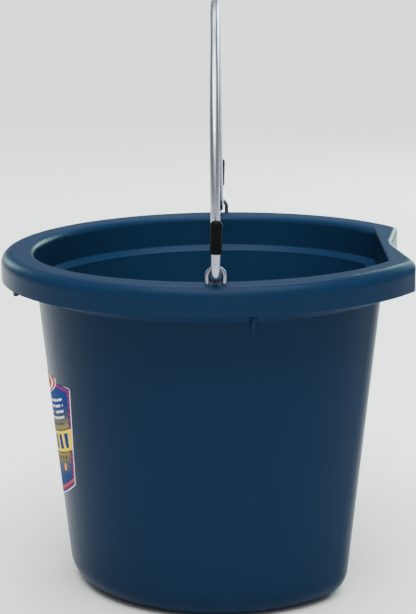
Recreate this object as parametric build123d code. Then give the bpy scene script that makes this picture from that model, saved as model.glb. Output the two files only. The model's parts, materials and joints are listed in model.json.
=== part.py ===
from build123d import *
from math import atan2, cos, degrees, radians, sin, sqrt, tan
import os

# Feed bucket with a flat back, a hollow rim and a steel wire bail. Millimetres, +Z up.
# The round front faces -Y, the flat back +Y, and the bail swings about X. The plan of
# every wall is a circle cut by a flat. Sizes called radius or flat are measured from that
# circle's centre. The finished assembly is moved along Y, so that its origin is on the
# floor at the middle of the rim's plan.

# Overall
rim_radius = 190.0
rim_flat = 164.8
height = 298.0

# Rim: a channel that is open underneath
rim_width = 28.5
rim_back_width = 21.6
rim_corner = 11.0
rim_round = 10.0
rim_back_round = 4.5
lip_round = 6.0
lip_back_round = 1.5
skirt_depth = 24.5
skirt_edge_round = 0.9
notch_half_width = 78.0
notch_depth = 12.2
notch_round = 120.0

# Wall
wall = 3.0
collar_depth = 30.0
collar_corner = 12.0
ledge_height = 5.0
ledge_step = 5.0
ledge_back_step = 8.4
ledge_round = 1.0
wall_corner = 42.0
front_draft = 5.35
back_draft = 6.4

# Floor
floor_thickness = 4.5
base_round = 24.0
foot_recess = 1.5
foot_width = 9.0
recess_draft = 1.0
gate_radius = 6.0
gate_height = 0.8

# Ribs under the rim, at angles from +X, mirrored in the YZ plane. A gusset runs down the
# wall, and a short rib stays in the channel. Both show as a nub below the skirt.
gusset_angle = 10.5
short_rib_angle = -64.5
rib_thickness = 4.0
nub_drop = 3.0
nub_width = 3.4
gusset_tail = 24.0
gusset_edge_round = 1.2
arch_bulge = 0.27
short_rib_rise = 2.0

# Eyes: a wire arch on the rim, with threaded legs through it
eye_inset = 14.0
eye_wire = 3.8
eye_side_clearance = 1.2
eye_top_clearance = 2.2
eye_hole_clearance = 0.2
thread_clearance = 0.1
leg_beyond_nut = 2.0

# Backing plates and nuts inside the rim channel
plate_width = 10.0
plate_length = 26.0
plate_thickness = 1.8
plate_edge = 3.6
plate_corner = 2.0
nut_wall = 1.6
nut_thickness = 3.2
nut_chamfer = 0.5

# Bail
bail_wire = 7.5
bail_rise = 204.2
bail_gap = 1.4
hook_inside_radius = 5.75
tail_lean = 2.0
lean_radius = 60.0
tail_length = 45.0

# Vinyl caps on the tails
cap_wall = 0.95
cap_length = 26.0
cap_end = 1.6
cap_crown = 3.0
cap_rib_count = 9
cap_rib_pitch = 2.4
cap_rib_groove = 0.35
cap_rib_depth = 0.35

# Label on the front
label_thickness = 0.25
label_top_drop = 107.0
label_side = 89.6
label_top_half = 86.4
label_bottom_half = 72.7
label_bottom_sag = 24.3
label_top_sag = 2.0
emblem_half = 60.0
emblem_rise = 4.0
emblem_sag = 3.0
label_corner = 2.0

# Levels and outlines that follow from the sizes above
skirt_bottom = height - skirt_depth
collar_bottom = height - collar_depth
ledge_bottom = collar_bottom - ledge_height
collar_radius = rim_radius - rim_width
collar_flat = rim_flat - rim_back_width
wall_radius = collar_radius + wall - ledge_step
wall_flat = collar_flat + wall - ledge_back_step
wall_slope = tan(radians(front_draft))
back_slope = tan(radians(back_draft))
base_radius = wall_radius - ledge_bottom * wall_slope
base_flat = wall_flat - ledge_bottom * back_slope
ceiling = height - wall
eye_position = rim_radius - eye_inset
eye_spacing = bail_wire + eye_wire + 2 * eye_side_clearance
eye_height = bail_gap + bail_wire + eye_top_clearance + eye_wire
nut_across_flats = eye_wire + 2 * nut_wall
hook_radius = hook_inside_radius + bail_wire / 2
pivot_height = height + bail_gap + bail_wire / 2
rim_centre_shift = (rim_radius - rim_flat) / 2


def d_face(radius, flat, corner, level=0.0):
    """Horizontal face: a circle cut by a flat at +Y, with rounded back corners."""
    centre_y = flat - corner
    centre_x = sqrt((radius - corner) ** 2 - centre_y**2)
    turn = degrees(atan2(centre_y, centre_x))
    front = CenterArc((0, 0), radius, 180 - turn, 180 + 2 * turn)
    right = CenterArc((centre_x, centre_y), corner, turn, 90 - turn)
    back = Line((centre_x, flat), (-centre_x, flat))
    left = CenterArc((-centre_x, centre_y), corner, 90, 90 - turn)
    return Pos(0, 0, level) * Face(Wire([front, right, back, left]))


def wall_face(level, inset=0.0):
    """Plan of the tapered wall at a level, inset from its outer surface."""
    drop = ledge_bottom - level
    radius = wall_radius - drop * wall_slope - inset
    flat = wall_flat - drop * back_slope - inset
    return d_face(radius, flat, wall_corner - inset, level)


def tapered(lower, upper):
    return loft([lower, upper], ruled=True)


def edges_at(solid, level, tolerance=0.01):
    """Edges that lie all along in one horizontal plane."""
    return solid.edges().filter_by_position(Axis.Z, level - tolerance, level + tolerance)


def tapered_body(inset, floor_level, bottom_round):
    """The wall's tapered block up to the ledge, with a rounded bottom edge."""
    body = tapered(wall_face(floor_level, inset), wall_face(ledge_bottom, inset))
    return fillet(edges_at(body, floor_level), bottom_round)


def rim_face():
    """Plan of the rim: its back edge is drawn in to a shallow rounded V."""
    plan = d_face(rim_radius, rim_flat, rim_corner)
    beyond = rim_flat + rim_corner
    notch = Polygon(
        (-notch_half_width, rim_flat),
        (0, rim_flat - notch_depth),
        (notch_half_width, rim_flat),
        (notch_half_width, beyond),
        (-notch_half_width, beyond),
        align=None,
    )
    plan = (Sketch() + plan) - notch
    bends = plan.vertices().filter_by_position(
        Axis.X, -notch_half_width - 0.01, notch_half_width + 0.01
    )
    bends = bends.filter_by_position(Axis.Y, 0, rim_flat + 0.01)
    return fillet(bends, notch_round)


def rim_block(lower, inset=0.0):
    """The rim's outer form: a broad round on the circle and a smaller one at the back."""
    depth = height - inset - lower
    block = Pos(0, 0, lower) * extrude(offset(rim_face(), -inset), depth)
    block = fillet(edges_at(block, height - inset), rim_back_round - inset)
    disc = Pos(0, 0, lower) * Cylinder(
        rim_radius - inset, depth, align=(Align.CENTER, Align.CENTER, Align.MIN)
    )
    disc = fillet(edges_at(disc, height - inset), rim_round - inset)
    return block & disc


def rim_channel():
    """The hollow under the rim top, between the collar and the skirt."""
    below = 1.0
    lower = skirt_bottom - below
    collar = d_face(collar_radius + wall, collar_flat + wall, collar_corner + wall, lower)
    channel = rim_block(lower, wall) - extrude(collar, ceiling - lower)
    inner = edges_at(channel, ceiling).filter_by(hugs_collar)
    return fillet(inner, lip_round - wall)


def hugs_collar(edge):
    """True for an edge that lies on the outside of the collar."""
    on_circle = abs(off_axis(edge) - collar_radius - wall) < 0.5
    on_flat = abs((edge @ 0.5).Y - collar_flat - wall) < 0.5
    at_corner = edge.length < collar_corner + wall
    return on_circle or on_flat or at_corner


def rib(wall_side, underside):
    """A rib in the XZ plane that fills the channel above the given underside."""
    outer = rim_radius - 0.5
    half_wall = wall / 2
    rim_centre = (rim_radius - rim_round, height - rim_round)
    lip_centre = (collar_radius + lip_round, height - lip_round)
    skirt_side = Polyline(
        (outer - nub_width, skirt_bottom - nub_drop),
        (outer, skirt_bottom - nub_drop),
        (outer, skirt_bottom + half_wall),
        (rim_radius - half_wall, skirt_bottom + wall),
        (rim_radius - half_wall, height - rim_round),
    )
    top = CenterArc(rim_centre, rim_round - half_wall, 0, 90)
    top += Line((rim_radius - rim_round, height - half_wall), (lip_centre[0], height - half_wall))
    top += CenterArc(lip_centre, lip_round - half_wall, 90, 90)
    inside = Polyline((collar_radius + half_wall, lip_centre[1]), *wall_side)
    profile = Plane.XZ * make_face(underside + skirt_side + top + inside)
    return extrude(profile, rib_thickness / 2, both=True)


def gusset_rib():
    """A rib that runs down the wall, with an arched lower edge."""
    nub_level = skirt_bottom - nub_drop
    tail_level = skirt_bottom - gusset_tail
    tail_radius = wall_radius - (ledge_bottom - tail_level) * wall_slope
    nub_start = rim_radius - 0.5 - nub_width
    half_wall = wall / 2
    reach = nub_start - tail_radius
    rise = nub_level - tail_level
    bend = (tail_radius + arch_bulge * reach, nub_level - arch_bulge * rise)
    arch = ThreePointArc((tail_radius, tail_level), bend, (nub_start, nub_level))
    wall_side = (
        (collar_radius + half_wall, collar_bottom),
        (wall_radius - half_wall, ledge_bottom),
        (tail_radius - half_wall, tail_level),
        (tail_radius, tail_level),
    )
    gusset = rib(wall_side, arch)
    arch_edges = gusset.edges().filter_by(lambda edge: on_arch(edge, tail_level, nub_level))
    return fillet(arch_edges, gusset_edge_round)


def on_arch(edge, tail_level, nub_level):
    """True for the two long edges of the rib's arched underside."""
    middle = edge @ 0.5
    across = abs((edge @ 0).Y - (edge @ 1).Y) > 0.1
    return not across and edge.length > 15 and tail_level < middle.Z < nub_level


def short_rib():
    """A rib that stays above the skirt's edge, apart from its nub."""
    level = skirt_bottom + short_rib_rise
    nub_start = rim_radius - 0.5 - nub_width
    foot = (collar_radius + wall, level)
    wall_side = ((collar_radius + wall / 2, level), foot)
    slant = (nub_start - short_rib_rise, level)
    return rib(wall_side, Polyline(foot, slant, (nub_start, skirt_bottom - nub_drop)))


def ribs():
    placed = []
    for angle, shape in ((gusset_angle, gusset_rib()), (short_rib_angle, short_rib())):
        for turn in (angle, 180 - angle):
            placed.append(Rot(0, 0, turn) * shape)
    return placed


def mouth():
    """The top of the opening: a small round along its whole edge, and the circle's lip."""
    depth = 2 * lip_round
    block = Cylinder(rim_radius, depth, align=(Align.CENTER, Align.CENTER, Align.MIN))
    ring = block - extrude(d_face(collar_radius, collar_flat, collar_corner), depth)
    inner = edges_at(ring, depth).filter_by(lambda edge: off_axis(edge) < collar_radius + 1)
    ring = fillet(inner, lip_back_round)
    return Pos(0, 0, height - depth) * (block - ring) + circle_lip()


def circle_lip():
    """The broad round on the circle, which ends at the flat."""
    base = height - lip_round
    profile = Polyline(
        (collar_radius + lip_round, height), (0, height), (0, base), (collar_radius, base)
    )
    profile += CenterArc((collar_radius + lip_round, base), lip_round, 90, 90)
    disc = revolve(Plane.XZ * make_face(profile), Axis.Z)
    span = 3 * rim_radius
    front = Box(span, span, 3 * lip_round, align=(Align.CENTER, Align.MAX, Align.CENTER))
    return disc & (Pos(0, collar_flat, height) * front)


def off_axis(edge):
    """Distance of an edge's middle from the circle's axis."""
    middle = edge @ 0.5
    return sqrt(middle.X**2 + middle.Y**2)


def cavity():
    """Everything inside the wall, the ledge and the collar."""
    lift = wall * tan(radians(22.5))
    lower = tapered_body(wall, floor_thickness, base_round - wall)
    wall_top = wall_face(ledge_bottom, wall)
    extra = extrude(wall_top, lift)
    narrow = Pos(0, 0, lift) * wall_top
    wide = d_face(collar_radius, collar_flat, collar_corner, collar_bottom + lift)
    ledge = tapered(narrow, wide)
    collar = extrude(wide, height - 2 * lip_round - collar_bottom - lift)
    hollow = lower + extra + ledge + collar + mouth()
    for level in (ledge_bottom + lift, collar_bottom + lift):
        hollow = fillet(edges_at(hollow, level), ledge_round)
    return hollow


def underside():
    """Recess inside the foot ring, around a small pad left at the middle."""
    margin = base_round + foot_width
    radius = base_radius - margin
    flat = base_flat - margin
    low = d_face(radius, flat, wall_corner - foot_width, 0)
    high = d_face(radius - recess_draft, flat - recess_draft, wall_corner - foot_width, foot_recess)
    pad = Pos(0, 0, foot_recess - gate_height) * Cylinder(
        gate_radius, gate_height, align=(Align.CENTER, Align.CENTER, Align.MIN)
    )
    return tapered(low, high) - pad


def bucket_shell():
    collar_plan = d_face(collar_radius + wall, collar_flat + wall, collar_corner + wall, collar_bottom)
    body = tapered_body(0, 0, base_round)
    body += tapered(wall_face(ledge_bottom), collar_plan)
    body += extrude(collar_plan, collar_depth)
    for level in (ledge_bottom, collar_bottom):
        body = fillet(edges_at(body, level), ledge_round)
    body += rim_block(skirt_bottom)
    body -= rim_channel()
    body = fillet(edges_at(body, skirt_bottom), skirt_edge_round)
    body -= cavity()
    for shape in ribs():
        body += shape
    body -= underside()
    hole = Cylinder(eye_wire / 2 + eye_hole_clearance, 4 * wall)
    for side in (-1, 1):
        for end in (-1, 1):
            body -= Pos(side * eye_position, end * eye_spacing / 2, height) * hole
    return body


def eye():
    """Wire arch with two straight legs, on the +X side."""
    bend = eye_spacing / 2
    crown = height + eye_height - eye_wire / 2
    leg_end = ceiling - plate_thickness - nut_thickness - leg_beyond_nut
    start = (eye_position, -bend, leg_end)
    path = Polyline(start, (eye_position, -bend, crown - bend))
    path += ThreePointArc(
        (eye_position, -bend, crown - bend),
        (eye_position, 0, crown),
        (eye_position, bend, crown - bend),
    )
    path += Line((eye_position, bend, crown - bend), (eye_position, bend, leg_end))
    wire = Wire(path.edges())
    body = sweep(Pos(*start) * Circle(eye_wire / 2), path=wire)
    return chamfer(edges_at(body, leg_end), eye_wire / 8)


def backing_plate():
    """Steel plate under the rim top on the +X side, drilled for the eye's legs."""
    plate = Box(plate_width, plate_length, plate_thickness)
    plate = fillet(plate.edges().filter_by(Axis.Z), plate_corner)
    centre = eye_position + plate_edge - plate_width / 2
    plate = Pos(centre, 0, ceiling - plate_thickness / 2) * plate
    hole = Cylinder(eye_wire / 2 + eye_hole_clearance, 4 * plate_thickness)
    for end in (-1, 1):
        plate -= Pos(eye_position, end * eye_spacing / 2, ceiling) * hole
    return plate


def eye_nut(end):
    """Hexagon nut on one leg of the +X eye."""
    hexagon = RegularPolygon(nut_across_flats / 2, 6, major_radius=False, rotation=30)
    nut = extrude(hexagon, nut_thickness)
    cone_radius = nut_across_flats / sqrt(3)
    cone = Cylinder(cone_radius, nut_thickness, align=(Align.CENTER, Align.CENTER, Align.MIN))
    cone = chamfer(cone.edges().filter_by(GeomType.CIRCLE), nut_chamfer / 2, nut_chamfer)
    nut &= cone
    nut -= Cylinder(eye_wire / 2 + thread_clearance, 3 * nut_thickness)
    seat = ceiling - plate_thickness - nut_thickness
    return Pos(eye_position, end * eye_spacing / 2, seat) * nut


def bail():
    """One wire: an arch on straight legs, a hook through each eye and a short tail."""
    leg = eye_position - hook_radius
    shoulder = pivot_height + bail_rise - leg
    hook_centre = pivot_height + hook_radius
    lean = radians(tail_lean)
    tail_x = eye_position + hook_radius
    bend_end = (tail_x, lean_radius * (1 - cos(lean)), hook_centre + lean_radius * sin(lean))
    bend_middle = (
        tail_x,
        lean_radius * (1 - cos(lean / 2)),
        hook_centre + lean_radius * sin(lean / 2),
    )
    straight = tail_length - hook_radius - lean_radius * sin(lean)
    tip = (tail_x, bend_end[1] + straight * sin(lean), bend_end[2] + straight * cos(lean))
    right = [
        Line(tip, bend_end),
        ThreePointArc(bend_end, bend_middle, (tail_x, 0, hook_centre)),
        ThreePointArc(
            (tail_x, 0, hook_centre), (eye_position, 0, pivot_height), (leg, 0, hook_centre)
        ),
        Line((leg, 0, hook_centre), (leg, 0, shoulder)),
    ]
    arch = ThreePointArc((leg, 0, shoulder), (0, 0, shoulder + leg), (-leg, 0, shoulder))
    side = Curve() + right
    path = Wire((side + arch + mirror(side, about=Plane.YZ)).edges())
    section = Plane(origin=tip, z_dir=path % 0) * Circle(bail_wire / 2)
    return sweep(section, path=path)


def bail_cap():
    """Ribbed cap pushed over the +X tail, with a domed closed end."""
    bore = bail_wire / 2
    outside = bore + cap_wall
    cap = Cylinder(outside, cap_length, align=(Align.CENTER, Align.CENTER, Align.MIN))
    cap = fillet(edges_at(cap, cap_length), cap_crown)
    cap -= Cylinder(bore, cap_length - cap_end, align=(Align.CENTER, Align.CENTER, Align.MIN))
    for index in range(cap_rib_count):
        level = cap_rib_pitch * (index + 0.5)
        ring = Cylinder(outside + 1, cap_rib_groove) - Cylinder(outside - cap_rib_depth, cap_rib_groove)
        cap -= Pos(0, 0, level) * ring
    lean = radians(tail_lean)
    lean_height = pivot_height + hook_radius + lean_radius * sin(lean)
    foot = tail_length - (cap_length - cap_end) - hook_radius - lean_radius * sin(lean)
    y = lean_radius * (1 - cos(lean)) + foot * sin(lean)
    z = lean_height + foot * cos(lean)
    return Pos(eye_position + hook_radius, y, z) * Rot(-tail_lean, 0, 0) * cap


def front_label():
    """Thin film on the wall's front, cut to its outline straight back along Y."""
    top = height - label_top_drop
    bottom = top - label_side
    emblem_foot = top - label_top_sag
    emblem_top = emblem_foot + emblem_rise
    right = [
        ThreePointArc(
            (0, emblem_top - emblem_sag),
            (emblem_half / 2, emblem_top - emblem_sag * 0.75),
            (emblem_half, emblem_top),
        ),
        Polyline(
            (emblem_half, emblem_top),
            (emblem_half, emblem_foot),
            (label_top_half, top),
            (label_bottom_half, bottom),
        ),
        ThreePointArc(
            (label_bottom_half, bottom),
            (label_bottom_half / 2, bottom - label_bottom_sag * 0.75),
            (0, bottom - label_bottom_sag),
        ),
    ]
    side = Curve() + right
    outline = Sketch() + Face(Wire((side + mirror(side, about=Plane.YZ)).edges()))
    corners = outline.vertices().filter_by(lambda vertex: abs(vertex.X) > emblem_half + 1)
    outline = Plane.XZ * fillet(corners, label_corner)
    prism = extrude(outline, rim_radius, dir=(0, -1, 0))
    grown = tapered(wall_face(0, -label_thickness), wall_face(ledge_bottom, -label_thickness))
    film = (grown - tapered(wall_face(0), wall_face(ledge_bottom))) & prism
    return film


def two_sided(shape):
    """A piece made for the +X side, and its mirror image on the -X side."""
    return {"right": shape, "left": mirror(shape, about=Plane.YZ)}


nodes = {
    "bucket_shell": bucket_shell(),
    "bail": bail(),
    "front_label": front_label(),
}
for side, shape in two_sided(eye()).items():
    nodes[f"eye_{side}"] = shape
for side, shape in two_sided(backing_plate()).items():
    nodes[f"backing_plate_{side}"] = shape
for place, end in (("front", -1), ("back", 1)):
    for side, shape in two_sided(eye_nut(end)).items():
        nodes[f"eye_nut_{side}_{place}"] = shape
for side, shape in two_sided(bail_cap()).items():
    nodes[f"bail_cap_{side}"] = shape

os.makedirs("parts", exist_ok=True)
for name, shape in nodes.items():
    export_step(Pos(0, rim_centre_shift, 0) * shape, f"parts/{name}.step")
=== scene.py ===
import json
import math

import bpy
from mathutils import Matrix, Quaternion, Vector


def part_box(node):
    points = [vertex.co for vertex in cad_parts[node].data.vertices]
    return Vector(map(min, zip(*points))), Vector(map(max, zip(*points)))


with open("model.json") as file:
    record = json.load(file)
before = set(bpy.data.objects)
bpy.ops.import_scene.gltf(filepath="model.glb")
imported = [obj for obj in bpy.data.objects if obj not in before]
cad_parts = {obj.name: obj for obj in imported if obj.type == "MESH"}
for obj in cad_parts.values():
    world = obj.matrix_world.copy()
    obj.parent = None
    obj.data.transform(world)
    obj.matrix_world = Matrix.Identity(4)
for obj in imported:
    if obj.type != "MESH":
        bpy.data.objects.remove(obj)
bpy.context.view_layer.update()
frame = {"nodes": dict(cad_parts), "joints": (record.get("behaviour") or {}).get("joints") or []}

# Places read from the frame, in metres
pivot = Vector(frame["joints"][0]["pos_m"])
rim_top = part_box("bucket_shell")[1].z

MILLIMETRES = 1000.0
DEGREES = 180.0 / math.pi

# Colours, linear
NAVY_DEEP = (0.0042, 0.0158, 0.038, 1)
NAVY_LIGHT = (0.0056, 0.0192, 0.047, 1)
NAVY_SCUFF = (0.03, 0.05, 0.08, 1)
WIRE_BRIGHT = (0.43, 0.455, 0.53, 1)
WIRE_DULL = (0.24, 0.255, 0.31, 1)
EYE_BRIGHT = (0.31, 0.32, 0.37, 1)
EYE_DULL = (0.18, 0.19, 0.23, 1)
# Painted shade for the roots of the eyes' screw thread
EYE_THREAD_SHADE = (0.12, 0.12, 0.13, 1)
NUT_BRIGHT = (0.5, 0.5, 0.48, 1)
NUT_DULL = (0.36, 0.36, 0.36, 1)
PLATE_BRIGHT = (0.42, 0.43, 0.44, 1)
PLATE_DULL = (0.26, 0.27, 0.29, 1)
VINYL_CLEAN = (0.0015, 0.0015, 0.002, 1)
VINYL_DUSTY = (0.005, 0.0052, 0.0062, 1)
LABEL_BLUE = (0.002, 0.02, 0.15, 1)
LABEL_RED = (0.42, 0.006, 0.006, 1)
LABEL_DARK = (0.02, 0.02, 0.04, 1)
LABEL_PINK = (0.36, 0.06, 0.07, 1)
LABEL_WHITE = (0.7, 0.7, 0.7, 1)
LABEL_YELLOW = (0.8, 0.6, 0.0, 1)
LABEL_ORANGE = (0.85, 0.27, 0.03, 1)
LABEL_FADED = (0.4, 0.4, 0.4, 1)
ROW_WHITE = (0.75, 0.78, 0.82, 1)
NOTE_DARK = (0.02, 0.025, 0.05, 1)
DOT_DARK = (0.012, 0.014, 0.03, 1)
SEA_GREEN = (0.62, 1.0, 0.88)
WHITE = (1, 1, 1)

# The label's field, from its foot to its head: blue, sand behind the band, blue again
FIELD_STOPS = (
    (0.0, (0.003, 0.022, 0.14, 1)),
    (0.16, (0.01, 0.034, 0.14, 1)),
    (0.27, (0.07, 0.08, 0.09, 1)),
    (0.37, (0.26, 0.2, 0.03, 1)),
    (0.6, (0.2, 0.17, 0.06, 1)),
    (0.7, (0.035, 0.055, 0.09, 1)),
    (0.8, (0.003, 0.024, 0.15, 1)),
)

# The label's layout. Levels are in millimetres above the floor, turns in degrees round
# the wall from the label's middle, and sag is the drop of a printed line per square degree.
LINE_SAG = 0.0165
FIELD_FOOT = 80.0
FIELD_HEIGHT = 100.0

ROW_TOP = 165.0
ROW_PITCH = 5.33
ROW_HALF_HEIGHT = 1.05
ROWS_FOOT = 146.8
ROWS_HEAD = 167.2
ROWS_HALF_TURN = 27.5
MARKS_PER_DEGREE = 0.9
MARKS_ROW_SHIFT = 7.3
MARK_GAP = 0.42

NOTE_LEVEL = 143.4
NOTE_HALF_HEIGHT = 0.9
NOTE_MARKS_PER_DEGREE = 0.61
NOTE_GAP = 0.3
NOTE_HALF_TURN = 27.0

DOT_LEVEL = 112.8
DOT_PITCH = 3.3
DOT_WIDTH_SCALE = 9.0
DOT_RADIUS_SQUARED = 3.6
DOTS_HALF_TURN = 28.0
DISC_LEVEL = 104.2
DISC_TURN = 22.6
DISC_WIDTH_SCALE = 2.6
DISC_RADIUS_SQUARED = 12.5

SIDE_HALF_WIDTH = 72.7
SIDE_LEVEL = 101.4
SIDE_SLOPE = 0.153
SIDE_SCALE = 1.18
FOOT_LEVEL = 77.1
FOOT_CURVE = 0.0046
HEAD_LEVEL = 191.0
BADGE_HALF_WIDTH = 60.0
BADGE_ROOM = 40.0
FRAME_WIDTH = 6.2
DASH_INNER = 5.0
DASH_OUTER = 2.2
DASH_LEAN = 2.75
DASH_PITCH = 6.4
TRIM_WIDTH = 0.8
STRIPE_FOOT = 4.0
STRIPE_HEAD = 6.6

BAND_EDGE_FOOT = 117.0
BAND_EDGE_HEAD = 138.0
BAND_FOOT = 118.1
BAND_HEAD = 136.9
BLOCK_FOOT = 120.8
BLOCK_HEAD = 134.2
BLOCK_MIDDLE = 127.0
BLOCK_LEAN = 0.1
BLOCK_PITCH = 6.4
BLOCK_SHARE = 0.62
BLOCKS_HALF_TURN = 28.8

OVAL_LEVEL = 181.5
OVAL_WIDTH_SQUARED = 560.0
OVAL_HEIGHT_SQUARED = 120.0
OVAL_RED = 0.9
RING_PLACE = 0.62
RING_HALF_WIDTH = 0.09

# Camera: level with the raised bail, looking down on the rim from the +X side
LENS = 104.9
SENSOR_WIDTH = 36.0
CAMERA_SPOT = (1.5501, 0.0298, 0.5751)
CAMERA_AIM = (0, 0.0031, 0.2419)
CAMERA_ROLL = -0.78

FLOOR_SIZE = 60.0
FLOOR_WHITE = (0.8, 0.8, 0.8, 1)
SKY_STRENGTH = 0.35


class Socket:
    """A shader socket that takes part in Python expressions."""

    def __init__(self, tree, socket):
        self.tree = tree
        self.socket = socket

    def math(self, operation, *others, swapped=False):
        node = self.tree.nodes.new("ShaderNodeMath")
        node.operation = operation
        values = [others[0], self] if swapped else [self, *others]
        for place, value in enumerate(values):
            if isinstance(value, Socket):
                self.tree.links.new(value.socket, node.inputs[place])
            else:
                node.inputs[place].default_value = value
        return Socket(self.tree, node.outputs[0])

    def __add__(self, other):
        return self.math("ADD", other)

    def __sub__(self, other):
        return self.math("SUBTRACT", other)

    def __mul__(self, other):
        return self.math("MULTIPLY", other)

    def __truediv__(self, other):
        return self.math("DIVIDE", other)

    def __radd__(self, other):
        return self.math("ADD", other, swapped=True)

    def __rsub__(self, other):
        return self.math("SUBTRACT", other, swapped=True)

    def __rmul__(self, other):
        return self.math("MULTIPLY", other, swapped=True)

    def __rtruediv__(self, other):
        return self.math("DIVIDE", other, swapped=True)

    def __gt__(self, other):
        return self.math("GREATER_THAN", other)

    def __lt__(self, other):
        return self.math("LESS_THAN", other)

    def __abs__(self):
        return self.math("ABSOLUTE")

    def part(self):
        """What is left after the whole number below it."""
        return self.math("FRACT")

    def least(self, other):
        return self.math("MINIMUM", other)

    def most(self, other):
        return self.math("MAXIMUM", other)

    def between(self, low, high):
        return (self > low) * (self < high)


class Finish:
    """A material under construction: its tree, its Principled shader and its coordinates."""

    def __init__(self, name):
        self.material = bpy.data.materials.new(name)
        self.material.use_nodes = True
        self.tree = self.material.node_tree
        self.shader = self.tree.nodes["Principled BSDF"]

    def node(self, kind, settings=None, output=0, **inputs):
        """Adds any node: its settings first, then its sockets by name, or by number as i0."""
        made = self.tree.nodes.new(kind)
        for key, value in (settings or {}).items():
            if key == "stops":
                self.fill_ramp(made.color_ramp, value)
            else:
                setattr(made, key, value)
        for key, value in inputs.items():
            place = int(key[1:]) if key[1:].isdigit() else key.replace("_", " ")
            self.put(made.inputs[place], value)
        return Socket(self.tree, made.outputs[output])

    def put(self, target, value):
        if isinstance(value, Socket):
            self.tree.links.new(value.socket, target)
        else:
            target.default_value = value

    def fill_ramp(self, ramp, stops):
        while len(ramp.elements) < len(stops):
            ramp.elements.new(0.5)
        for element, (position, colour) in zip(ramp.elements, stops):
            element.position = position
            element.color = colour

    def set(self, **inputs):
        """Sets the Principled shader's sockets: values, or links of what varies."""
        for key, value in inputs.items():
            self.put(self.shader.inputs[key.replace("_", " ")], value)

    def place(self):
        """Object coordinates, the fourth output of Texture Coordinate."""
        return self.node("ShaderNodeTexCoord", output=3)

    def axis(self, vector, number):
        return self.node("ShaderNodeSeparateXYZ", output=number, i0=vector)

    def noise(self, vector, scale, detail=2.0, roughness=0.5):
        return self.node(
            "ShaderNodeTexNoise", Vector=vector, Scale=scale, Detail=detail, Roughness=roughness
        )

    def mix(self, factor, first, second):
        return self.node(
            "ShaderNodeMix", {"data_type": "RGBA"}, output=2, i0=factor, i6=first, i7=second
        )

    def stretch(self, vector, scale):
        return self.node("ShaderNodeMapping", Vector=vector, Scale=scale)

    def bump(self, height, strength, distance):
        self.set(
            Normal=self.node("ShaderNodeBump", Height=height, Strength=strength, Distance=distance)
        )


def polyethylene():
    """Moulded polyethylene: deep navy, satin, with flow marks, faint scuffs and a worn foot."""
    foot_fade = 40.0
    scuff_start = 0.62
    scuff_contrast = 9.0
    wall_wear = 0.12
    foot_wear = 0.5
    flow = (1.0, 1.0, 0.12)
    rubbed = (0.3, 0.3, 1.0)

    finish = Finish("navy_polyethylene")
    place = finish.place()
    height = finish.axis(place, 2)
    cloud = finish.noise(place, scale=7.0, detail=3.0)
    peel = finish.noise(place, scale=420.0, detail=3.0)
    streak = finish.noise(finish.stretch(place, flow), scale=70.0, detail=5.0, roughness=0.65)
    scuff = finish.noise(finish.stretch(place, rubbed), scale=150.0, detail=6.0, roughness=0.75)
    foot = (1.0 - height * foot_fade).most(0.0)
    scuffed = ((scuff - scuff_start) * scuff_contrast).most(0.0).least(1.0)
    worn = scuffed * (wall_wear + foot * foot_wear)
    base = finish.mix(cloud * 0.6 + streak * 0.4, NAVY_DEEP, NAVY_LIGHT)
    base = finish.mix(worn, base, NAVY_SCUFF)
    finish.set(Base_Color=base, Roughness=0.26 + cloud * 0.05 + streak * 0.07 + worn * 0.3)
    finish.set(IOR=1.5, Specular_IOR_Level=0.034)
    finish.bump(peel * 0.35 + streak * 0.3 + worn * 0.8, strength=0.12, distance=0.0004)
    return finish.material


def galvanised(name, bright, dull, rough):
    """Galvanised steel: fine spangle, drawing lines along the wire and dull patches."""
    along_wire = (1.0, 1.0, 0.04)

    finish = Finish(name)
    place = finish.place()
    spangle = finish.node("ShaderNodeTexVoronoi", Vector=place, Scale=420.0)
    patch = finish.noise(place, scale=55.0, detail=4.0, roughness=0.6)
    drawn = finish.noise(finish.stretch(place, along_wire), scale=1500.0, detail=2.0)
    base = finish.mix(patch * 0.7 + spangle * 0.5, bright, dull)
    finish.set(Base_Color=base, Metallic=1.0, Roughness=rough + patch * 0.16 + drawn * 0.06)
    finish.bump(drawn * 0.6 + spangle * 0.4, strength=0.16, distance=0.0002)
    return finish.material


def threaded_zinc():
    """The eyes: bright arch, with a screw thread on the part of each leg under the rim, its roots
    darkened with painted shade.
    """
    thread_pitch = 0.7
    thread_lean = 0.3
    thread_start = 4.8
    root_shade = 0.6

    finish = Finish("zinc_thread")
    place = finish.place()
    height = finish.axis(place, 2) * MILLIMETRES
    round_leg = finish.axis(place, 0).math("ARCTAN2", finish.axis(place, 1))
    along = (round_leg * thread_lean + height) / thread_pitch
    thread = abs(along.part() - 0.5) * 2.0
    low = height < (rim_top * MILLIMETRES - thread_start)
    patch = finish.noise(place, scale=120.0, detail=4.0)
    base = finish.mix(patch, EYE_BRIGHT, EYE_DULL)
    # Painted shade: the roots of the thread under the rim are darkened
    base = finish.mix(low * (1.0 - thread) * root_shade, base, EYE_THREAD_SHADE)
    finish.set(Base_Color=base, Metallic=1.0, Roughness=0.24 + patch * 0.14)
    finish.bump(thread * low + patch * 0.06, strength=0.6, distance=0.0003)
    return finish.material


def vinyl():
    """Black dipped vinyl on the caps: satin and grained, with a little dust."""
    finish = Finish("black_vinyl")
    place = finish.place()
    grain = finish.noise(place, scale=700.0, detail=3.0)
    dust = finish.noise(place, scale=130.0, detail=5.0, roughness=0.7)
    base = finish.mix(dust, VINYL_CLEAN, VINYL_DUSTY)
    finish.set(Base_Color=base, Roughness=0.42 + grain * 0.12 + dust * 0.1)
    finish.set(IOR=1.5, Specular_IOR_Level=0.04)
    finish.bump(grain * 0.7 + dust * 0.3, strength=0.15, distance=0.0003)
    return finish.material


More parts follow.
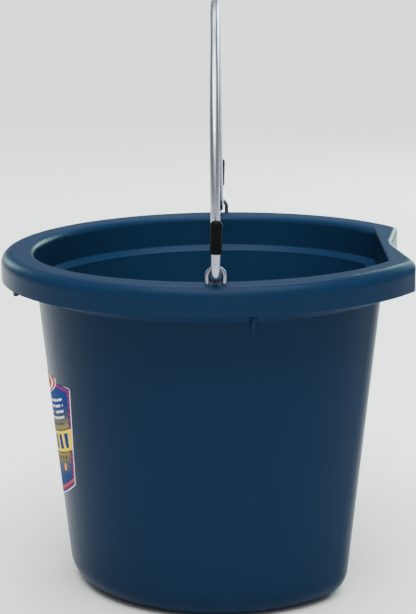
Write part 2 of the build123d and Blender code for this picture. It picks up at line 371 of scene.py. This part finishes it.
class Sheet:
    """Where a point of the label lies: across, level and sagged in millimetres, turn in degrees."""

    def __init__(self, finish, place):
        depth = (pivot.y - finish.axis(place, 1)) * MILLIMETRES
        self.across = finish.axis(place, 0) * MILLIMETRES
        self.level = finish.axis(place, 2) * MILLIMETRES
        self.turn = self.across.math("ARCTAN2", depth) * DEGREES
        self.away = abs(self.turn)
        self.sagged = self.level - self.turn * self.turn * LINE_SAG


def add_rows(finish, sheet, field):
    """Broken pale bars in rows, and a thin dark row under them."""
    rows = (ROW_TOP - sheet.sagged) / ROW_PITCH
    in_row = abs((rows + 0.5).part() - 0.5) * ROW_PITCH < ROW_HALF_HEIGHT
    spot = finish.node(
        "ShaderNodeCombineXYZ",
        i0=sheet.turn * MARKS_PER_DEGREE,
        i1=rows.math("ROUND") * MARKS_ROW_SHIFT,
    )
    filled = finish.noise(spot, scale=1.0, detail=0.0) > MARK_GAP
    in_rows = sheet.sagged.between(ROWS_FOOT, ROWS_HEAD) * (sheet.away < ROWS_HALF_TURN)
    field = finish.mix(in_row * filled * in_rows, field, ROW_WHITE)
    in_note = (abs(sheet.sagged - NOTE_LEVEL) < NOTE_HALF_HEIGHT) * (sheet.away < NOTE_HALF_TURN)
    marks = (sheet.turn * NOTE_MARKS_PER_DEGREE).part() > NOTE_GAP
    return finish.mix(in_note * marks, field, NOTE_DARK)


def add_dots(finish, sheet, field):
    """A row of small dots, and one disc on each side below it."""
    across = ((sheet.turn / DOT_PITCH).part() - 0.5) * DOT_WIDTH_SCALE
    up = sheet.sagged - DOT_LEVEL
    dots = (across * across + up * up < DOT_RADIUS_SQUARED) * (sheet.away < DOTS_HALF_TURN)
    field = finish.mix(dots, field, DOT_DARK)
    across = (sheet.away - DISC_TURN) * DISC_WIDTH_SCALE
    up = sheet.sagged - DISC_LEVEL
    return finish.mix(across * across + up * up < DISC_RADIUS_SQUARED, field, LABEL_ORANGE)


def add_frame_and_band(finish, sheet, field):
    """A blue frame with red dashes and a white trim, and a yellow band with slanted blocks."""
    half_width = SIDE_HALF_WIDTH + (sheet.level - SIDE_LEVEL) * SIDE_SLOPE
    side = (half_width - abs(sheet.across)) * SIDE_SCALE
    foot = sheet.level - FOOT_LEVEL - sheet.across * sheet.across * FOOT_CURVE
    under_badge = abs(sheet.across) < BADGE_HALF_WIDTH
    head = HEAD_LEVEL - sheet.level + under_badge * BADGE_ROOM
    edge = side.least(foot).least(head)
    dashes = ((sheet.level + sheet.away * DASH_LEAN) / DASH_PITCH).part() > 0.5
    field = finish.mix(edge < FRAME_WIDTH, field, LABEL_BLUE)
    field = finish.mix(edge.between(DASH_OUTER, DASH_INNER) * dashes, field, LABEL_RED)
    field = finish.mix(sheet.sagged.between(BAND_EDGE_FOOT, BAND_EDGE_HEAD), field, LABEL_DARK)
    field = finish.mix(sheet.sagged.between(BAND_FOOT, BAND_HEAD), field, LABEL_YELLOW)
    leaning = sheet.turn + (sheet.sagged - BLOCK_MIDDLE) * BLOCK_LEAN
    slant = (leaning / BLOCK_PITCH).part() < BLOCK_SHARE
    in_blocks = sheet.sagged.between(BLOCK_FOOT, BLOCK_HEAD) * (sheet.away < BLOCKS_HALF_TURN)
    field = finish.mix(slant * in_blocks, field, LABEL_BLUE)
    field = finish.mix(foot.between(STRIPE_FOOT, STRIPE_HEAD), field, LABEL_PINK)
    return finish.mix(edge < TRIM_WIDTH, field, LABEL_WHITE)


def add_badge(finish, sheet, field):
    """A plain red oval with a white ring, at the label's head."""
    up = sheet.sagged - OVAL_LEVEL
    oval = sheet.turn * sheet.turn / OVAL_WIDTH_SQUARED + up * up / OVAL_HEIGHT_SQUARED
    field = finish.mix(oval < 1.0, field, LABEL_WHITE)
    off_ring = abs(oval - RING_PLACE) > RING_HALF_WIDTH
    return finish.mix((oval < OVAL_RED) * off_ring, field, LABEL_RED)


def printed_film():
    """The label: a framed field that fades from blue to sand, with plain bars and shapes."""
    finish = Finish("printed_film")
    place = finish.place()
    sheet = Sheet(finish, place)
    field = finish.node(
        "ShaderNodeValToRGB",
        {"stops": FIELD_STOPS},
        i0=(sheet.sagged - FIELD_FOOT) / FIELD_HEIGHT,
    )
    for add in (add_rows, add_dots, add_frame_and_band, add_badge):
        field = add(finish, sheet, field)
    faded = finish.noise(place, scale=45.0, detail=5.0, roughness=0.6)
    field = finish.mix(faded * 0.06, field, LABEL_FADED)
    ripple = finish.noise(place, scale=30.0, detail=2.0)
    finish.set(Base_Color=field, Roughness=0.42 + faded * 0.14)
    finish.set(IOR=1.45, Specular_IOR_Level=0.004)
    finish.bump(ripple * 0.7 + faded * 0.3, strength=0.25, distance=0.0006)
    return finish.material


def add_thing(name, data):
    thing = bpy.data.objects.new(name, data)
    bpy.context.scene.collection.objects.link(thing)
    return thing


def aim(thing, spot, target, roll=0.0):
    """Puts a camera or a light at a spot and points it at a target."""
    level = (Vector(target) - Vector(spot)).to_track_quat("-Z", "Y")
    thing.location = spot
    thing.rotation_mode = "QUATERNION"
    thing.rotation_quaternion = level @ Quaternion((0, 0, 1), math.radians(roll))


def add_camera():
    camera = add_thing("camera", bpy.data.cameras.new("camera"))
    camera.data.lens = LENS
    camera.data.sensor_width = SENSOR_WIDTH
    aim(camera, CAMERA_SPOT, CAMERA_AIM, CAMERA_ROLL)
    bpy.context.scene.camera = camera


def add_floor():
    bpy.ops.mesh.primitive_plane_add(size=FLOOR_SIZE)
    floor = bpy.context.object
    floor.name = "floor"
    finish = Finish("floor")
    finish.set(Base_Color=FLOOR_WHITE, Roughness=0.6)
    floor.data.materials.append(finish.material)


def add_world():
    world = bpy.data.worlds.new("studio")
    bpy.context.scene.world = world
    world.use_nodes = True
    background = world.node_tree.nodes["Background"]
    background.inputs["Color"].default_value = (1, 1, 1, 1)
    background.inputs["Strength"].default_value = SKY_STRENGTH


def add_overhead(strength, spread, source):
    """A wide overhead light, the same all over the floor. Source is the way towards it."""
    data = bpy.data.lights.new("overhead", "SUN")
    data.energy = strength
    data.angle = spread
    aim(add_thing("overhead", data), (0, 0, 0), -Vector(source))


def add_box(name, width, height, power, spot, target, colour=WHITE):
    """A soft rectangular light."""
    data = bpy.data.lights.new(name, "AREA")
    data.shape = "RECTANGLE"
    data.size = width
    data.size_y = height
    data.energy = power
    data.color = colour
    aim(add_thing(name, data), spot, target)


def add_spot(name, power, cone, softness, spot, target):
    """A narrow soft-edged light, for the inside of the bucket."""
    data = bpy.data.lights.new(name, "SPOT")
    data.energy = power
    data.spot_size = math.radians(cone)
    data.spot_blend = 1.0
    data.shadow_soft_size = softness
    aim(add_thing(name, data), spot, target)


def paint(node, material):
    piece = frame["nodes"][node]
    piece.data.materials.clear()
    piece.data.materials.append(material)


bpy.ops.object.select_all(action="DESELECT")

# Finishes by the start of a node's name. The longest start that fits is used.
finishes = {
    "bucket_shell": polyethylene(),
    "bail_cap": vinyl(),
    "front_label": printed_film(),
    "bail": galvanised("galvanised_wire", WIRE_BRIGHT, WIRE_DULL, rough=0.2),
    "eye_nut": galvanised("zinc_nut", NUT_BRIGHT, NUT_DULL, rough=0.26),
    "backing_plate": galvanised("zinc_plate", PLATE_BRIGHT, PLATE_DULL, rough=0.32),
    "eye": threaded_zinc(),
}
for name in frame["nodes"]:
    kind = max((kind for kind in finishes if name.startswith(kind)), key=len)
    paint(name, finishes[kind])

add_camera()
add_floor()
add_world()
add_overhead(strength=7.2, spread=1.0, source=(0.24, 0.04, 1.0))
add_box(
    "front_box",
    width=0.5,
    height=1.2,
    power=6.0,
    spot=(2.2, 0.35, 1.5),
    target=(0, 0, 0.2),
)
add_spot(
    "inside_spot",
    power=150.0,
    cone=16.0,
    softness=0.12,
    spot=(1.2, 0, 1.6),
    target=(-0.2, 0.01, 0.27),
)
add_box(
    "crown_box",
    width=1.2,
    height=1.2,
    power=22.0,
    spot=(-1.3, 0, 2.2),
    target=(0, 0, 0.45),
)
add_box(
    "rear_right_box",
    width=1.5,
    height=0.9,
    power=62.0,
    spot=(-2.5, 1.4, 1.0),
    target=(0, 0.2, 0.3),
    colour=SEA_GREEN,
)
add_box(
    "rear_left_box",
    width=0.7,
    height=0.9,
    power=16.0,
    spot=(-2.5, -1.75, 1.0),
    target=(0, -0.2, 0.3),
    colour=SEA_GREEN,
)
